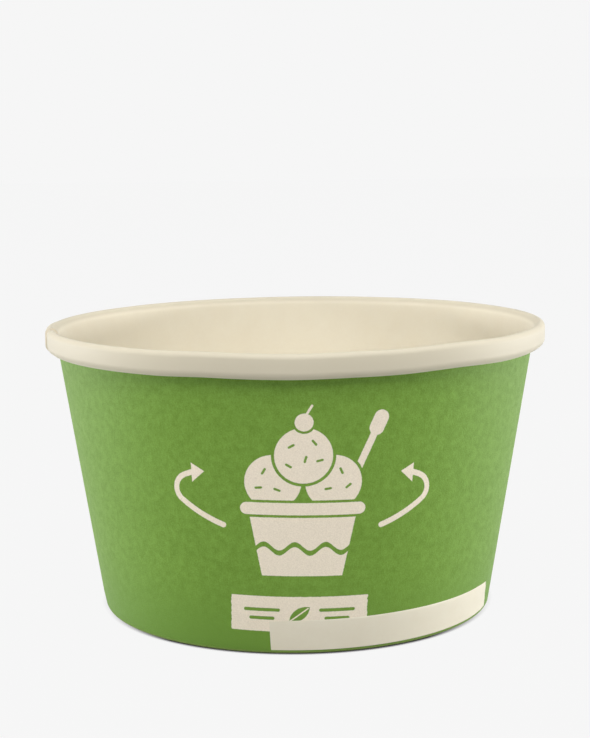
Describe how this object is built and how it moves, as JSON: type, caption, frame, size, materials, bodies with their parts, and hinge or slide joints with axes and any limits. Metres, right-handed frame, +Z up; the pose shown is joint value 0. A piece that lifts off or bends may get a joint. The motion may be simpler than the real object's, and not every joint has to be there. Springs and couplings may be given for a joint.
{
  "type": "paper dessert cup",
  "caption": "Round tapered paper cup for desserts, with a rolled rim, a lapped side seam and a recessed floor held in an in-turned foot; open at the top.",
  "frame": {"origin": "centre of the foot, on the surface that the cup stands on", "axes": "+Z up along the axis of the cup, towards the rim; -Y towards the middle of the printed front; the side seam lies near -X"},
  "size_m": [0.09, 0.09, 0.0512],
  "materials": {
    "printed_board": "cup board with a satin cream lining and matte leaf green ink outside, cream fields left in the print",
    "base_board": "plain cream cup board, satin lining on its upper face"
  },
  "bodies": {
    "root": {"side_wall": "printed_board", "base_disc": "base_board"}
  },
  "joints": []
}
